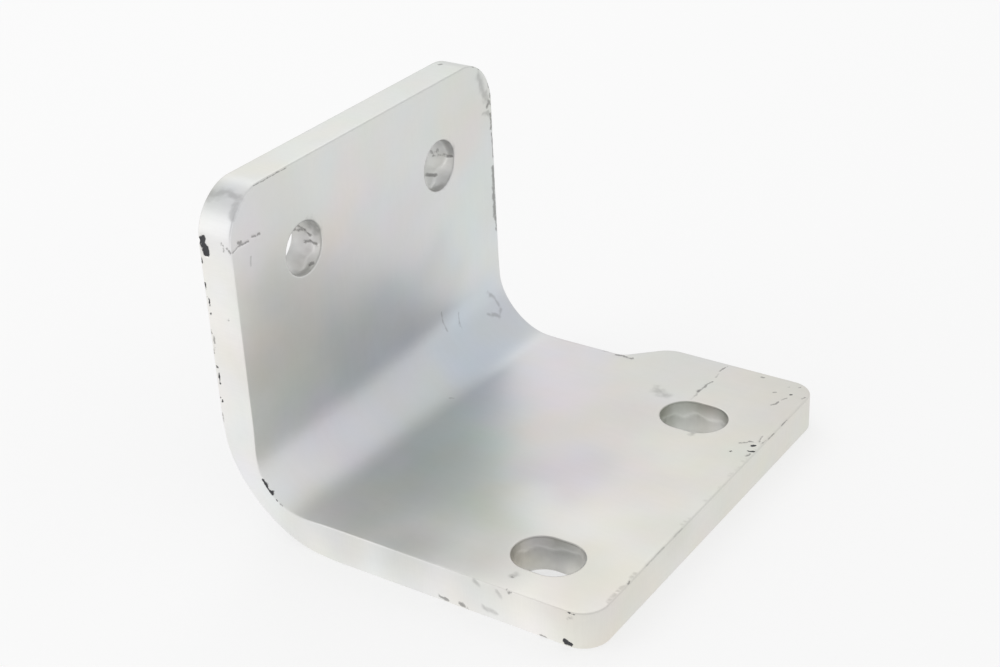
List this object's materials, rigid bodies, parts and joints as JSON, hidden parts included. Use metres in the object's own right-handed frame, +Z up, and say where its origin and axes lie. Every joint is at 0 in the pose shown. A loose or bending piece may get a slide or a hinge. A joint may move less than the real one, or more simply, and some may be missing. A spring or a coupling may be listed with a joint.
{
  "type": "motor mounting bracket",
  "caption": "Right-angle bracket of thick zinc-plated steel plate, with round motor bolt holes in the upright, slots in the base and a tab along one side.",
  "frame": {"origin": "on the underside of the base, midway between the two slots", "axes": "+Z up, along the upright; +X from the upright towards the free edge of the base; +Y towards the side with the tab"},
  "size_m": [0.1065, 0.1205, 0.093],
  "materials": {
    "zinc_plated_steel": "satin"
  },
  "bodies": {
    "root": {"bracket": "zinc_plated_steel"}
  },
  "joints": []
}
